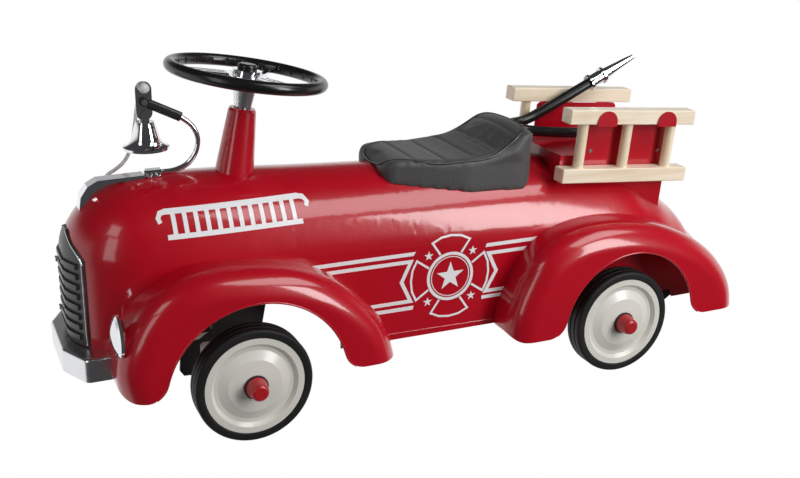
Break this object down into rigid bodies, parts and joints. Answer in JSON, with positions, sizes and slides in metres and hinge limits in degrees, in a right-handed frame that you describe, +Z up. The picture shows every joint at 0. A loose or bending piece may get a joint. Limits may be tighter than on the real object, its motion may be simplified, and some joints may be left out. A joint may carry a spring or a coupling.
{
  "type": "ride-on toy fire engine",
  "caption": "Foot-to-floor ride-on fire engine with pressed steel body, padded seat, steering wheel, bell on a gooseneck, hose and wooden ladders.",
  "frame": {"origin": "on the ground under the middle of the vehicle's bounding box", "axes": "+X forward, +Y the rider's left, +Z up"},
  "size_m": [0.791, 0.2658, 0.371],
  "materials": {
    "red_paint": "glossy red enamel",
    "grille_black": "satin black",
    "screw_steel": "plated",
    "black_steel": "satin black",
    "chrome": "polished",
    "lens_chrome": "polished dome",
    "bumper_silver": "satin silver-grey",
    "bell_chrome": "polished",
    "black_plastic": "matt",
    "axle_steel": "bare",
    "washer_black": "matt",
    "red_plastic": "glossy",
    "seat_cover": "grained black leatherette",
    "plywood": "raw",
    "hose_rubber": "satin black",
    "cord_white": "braided",
    "wheel_black": "glossy",
    "tyre": "matt",
    "disc_cream": "satin",
    "wood": "clear varnish",
    "wood_dowel": "clear varnish"
  },
  "bodies": {
    "chassis": {"arm_clamp": "chrome", "bell_arm": "chrome", "bell_arm_sleeve": "black_plastic", "bell_cord": "cord_white", "bell_plate": "chrome", "body_shell": "red_paint", "bumper": "bumper_silver", "bumper_brackets": "black_steel", "column_bracket": "black_steel", "column_cover": "red_paint", "cord_knots": "cord_white", "deck_box": "red_paint", "deck_screws": "screw_steel", "fender_front_left": "red_paint", "fender_front_right": "red_paint", "fender_rear_left": "red_paint", "fender_rear_right": "red_paint", "grille": "grille_black", "grille_screws": "screw_steel", "headlight_left": "chrome", "headlight_lenses": "lens_chrome", "headlight_right": "chrome", "hood_ornament": "chrome", "hose": "hose_rubber", "hose_fitting": "chrome", "hose_nozzle": "chrome", "plate_rivet": "screw_steel", "rear_axle": "axle_steel", "rear_axle_hangers": "black_steel", "rear_hub_caps": "red_plastic", "rear_spacers": "black_plastic", "rear_washers": "washer_black", "seat_board": "plywood", "seat_bolts": "screw_steel", "seat_cushion": "seat_cover", "steering_bush": "black_plastic"},
    "steering": {"steering_wheel_rim": "wheel_black", "steering_spokes": "chrome", "steering_cap": "wheel_black", "steering_collar": "bumper_silver", "steering_shaft": "axle_steel", "front_yoke": "black_steel", "front_axle": "axle_steel", "front_washers": "washer_black", "front_spacers": "black_plastic", "front_hub_caps": "red_plastic"},
    "bell": {"bell": "bell_chrome"},
    "clapper": {"clapper": "axle_steel"},
    "ladder_left": {"ladder_rails_left": "wood", "ladder_rungs_left": "wood_dowel"},
    "ladder_right": {"ladder_rails_right": "wood", "ladder_rungs_right": "wood_dowel"},
    "wheel_front_left": {"tyre_front_left": "tyre", "wheel_disc_front_left": "disc_cream"},
    "wheel_front_right": {"tyre_front_right": "tyre", "wheel_disc_front_right": "disc_cream"},
    "wheel_rear_left": {"tyre_rear_left": "tyre", "wheel_disc_rear_left": "disc_cream"},
    "wheel_rear_right": {"tyre_rear_right": "tyre", "wheel_disc_rear_right": "disc_cream"}
  },
  "joints": [
    {"name": "steering_turn", "type": "hinge", "parent": "chassis", "child": "steering", "pos_m": [0.1896, 0, 0.353], "axis": [-0.1542, 0, 0.988], "range_deg": [-12, 12]},
    {"name": "bell_swing", "type": "hinge", "parent": "chassis", "child": "bell", "pos_m": [0.2943, 0, 0.319], "axis": [0, 1, 0], "range_deg": [-25, 25]},
    {"name": "clapper_swing", "type": "hinge", "parent": "bell", "child": "clapper", "pos_m": [0.2943, 0, 0.3016], "axis": [0, 1, 0], "range_deg": [-12, 12]},
    {"name": "wheel_spin_front_left", "type": "hinge", "parent": "steering", "child": "wheel_front_left", "pos_m": [0.2214, 0.0995, 0.061], "axis": [0, 1, 0], "continuous": true},
    {"name": "wheel_spin_front_right", "type": "hinge", "parent": "steering", "child": "wheel_front_right", "pos_m": [0.2214, -0.0995, 0.061], "axis": [0, 1, 0], "continuous": true},
    {"name": "wheel_spin_rear_left", "type": "hinge", "parent": "chassis", "child": "wheel_rear_left", "pos_m": [-0.217, 0.103, 0.061], "axis": [0, 1, 0], "continuous": true},
    {"name": "wheel_spin_rear_right", "type": "hinge", "parent": "chassis", "child": "wheel_rear_right", "pos_m": [-0.217, -0.103, 0.061], "axis": [0, 1, 0], "continuous": true},
    {"name": "ladder_lift_left", "type": "slide", "parent": "chassis", "child": "ladder_left", "axis": [0, 0, 1], "range_m": [0, 0.02]},
    {"name": "ladder_lift_right", "type": "slide", "parent": "chassis", "child": "ladder_right", "axis": [0, 0, 1], "range_m": [0, 0.02]}
  ]
}
